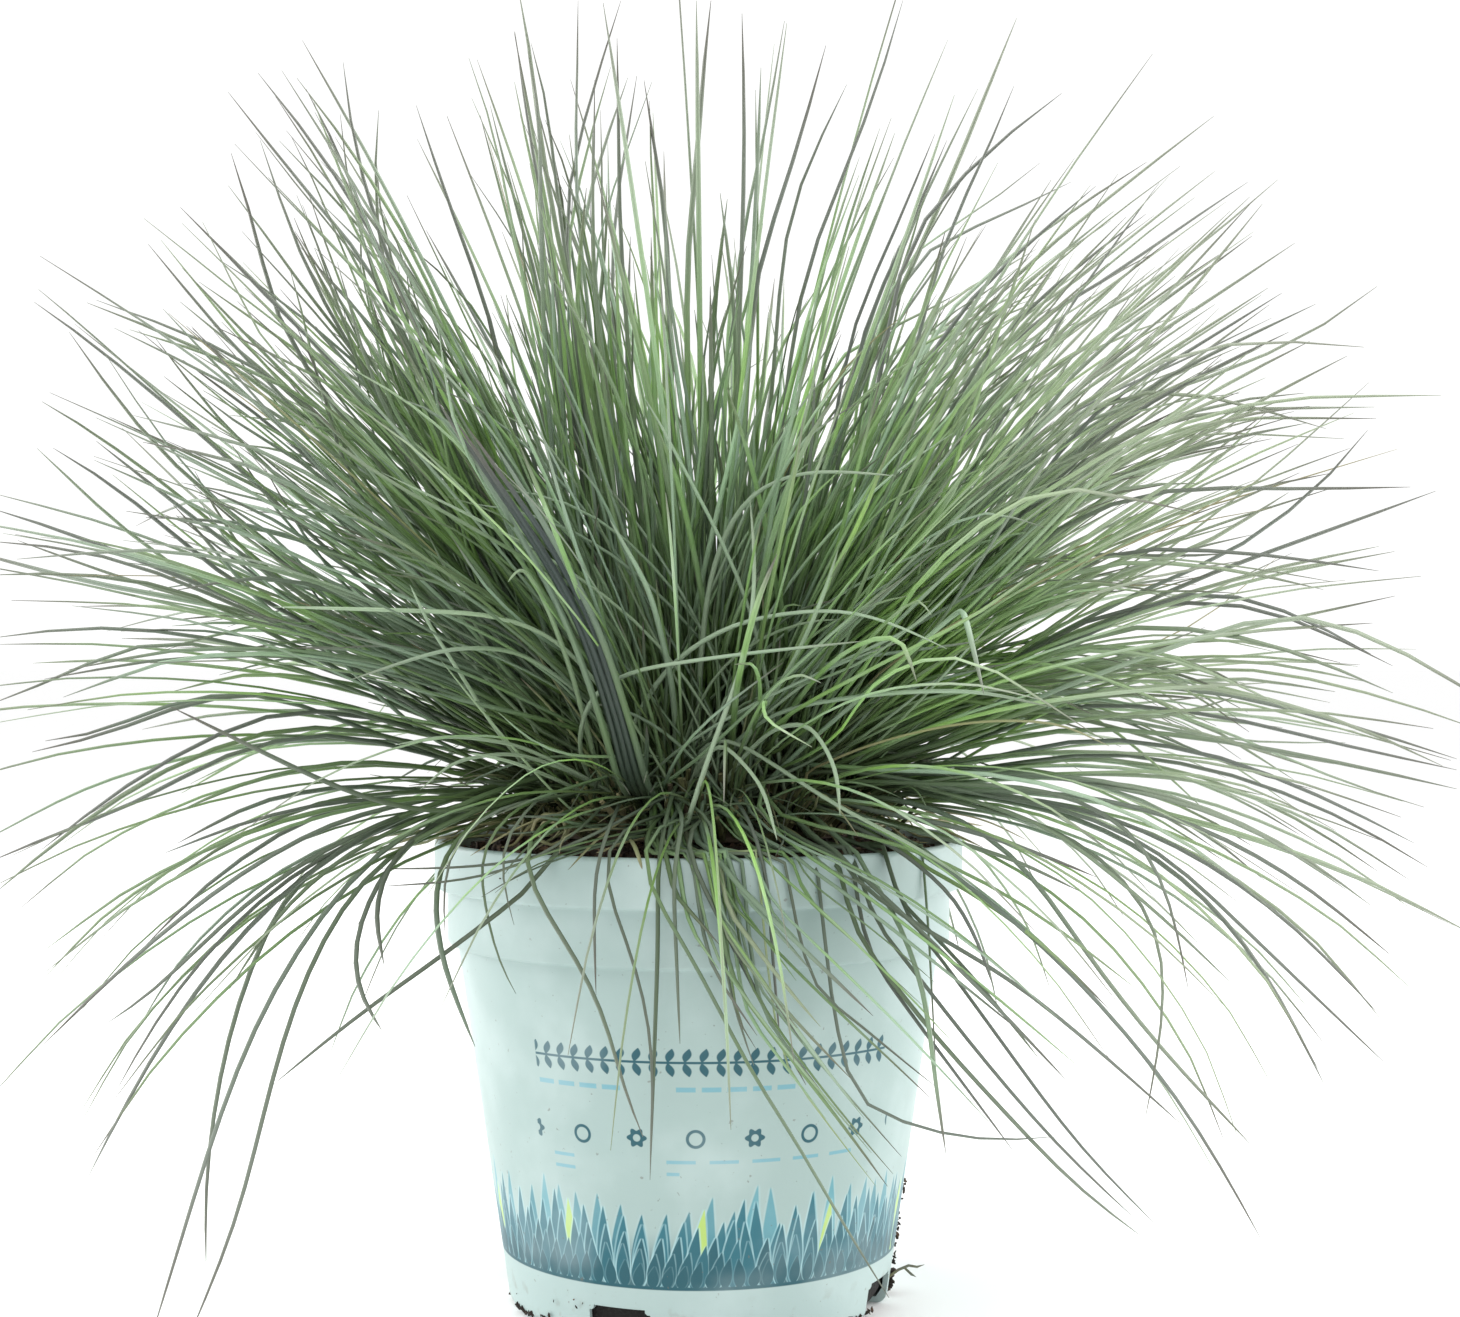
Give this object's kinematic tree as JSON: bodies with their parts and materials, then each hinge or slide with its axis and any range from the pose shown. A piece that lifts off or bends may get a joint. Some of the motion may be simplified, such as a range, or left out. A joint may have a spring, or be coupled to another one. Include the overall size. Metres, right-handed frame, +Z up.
{
  "type": "potted blue fescue clump",
  "caption": "Round stepped-rim nursery pot filled with potting mix, holding a dome-shaped clump of long, narrow, arching blue-green grass leaves.",
  "frame": {"origin": "centre of the pot's flat underside", "axes": "+Z up along the pot's axis; -Y faces the viewer of the printed side, +X is to that viewer's right"},
  "size_m": [0.3738, 0.3678, 0.3238],
  "materials": {
    "pot": "pale aqua polypropylene, satin, with a printed band of leaf shapes",
    "soil": "damp peaty potting mix with bark fibres",
    "crown": "packed leaf bases, olive to straw",
    "leaf": "waxy blue-green leaves, paler towards the sheath, some withered"
  },
  "bodies": {
    "root": {"pot": "pot", "soil": "soil", "crown": "crown", "tiller_01": "leaf", "tiller_02": "leaf", "tiller_03": "leaf", "tiller_04": "leaf", "tiller_05": "leaf", "tiller_06": "leaf", "tiller_07": "leaf", "tiller_08": "leaf", "tiller_09": "leaf", "tiller_10": "leaf", "tiller_11": "leaf", "tiller_12": "leaf", "tiller_13": "leaf", "tiller_14": "leaf", "tiller_15": "leaf", "tiller_16": "leaf", "tiller_17": "leaf", "tiller_18": "leaf", "tiller_19": "leaf", "tiller_20": "leaf", "tiller_21": "leaf", "tiller_22": "leaf", "tiller_23": "leaf", "tiller_24": "leaf", "tiller_25": "leaf", "tiller_26": "leaf", "tiller_27": "leaf", "tiller_28": "leaf", "tiller_29": "leaf", "tiller_30": "leaf", "tiller_31": "leaf", "tiller_32": "leaf", "tiller_33": "leaf", "tiller_34": "leaf", "tiller_35": "leaf", "tiller_36": "leaf", "tiller_37": "leaf", "tiller_38": "leaf", "tiller_39": "leaf", "tiller_40": "leaf"}
  },
  "joints": []
}
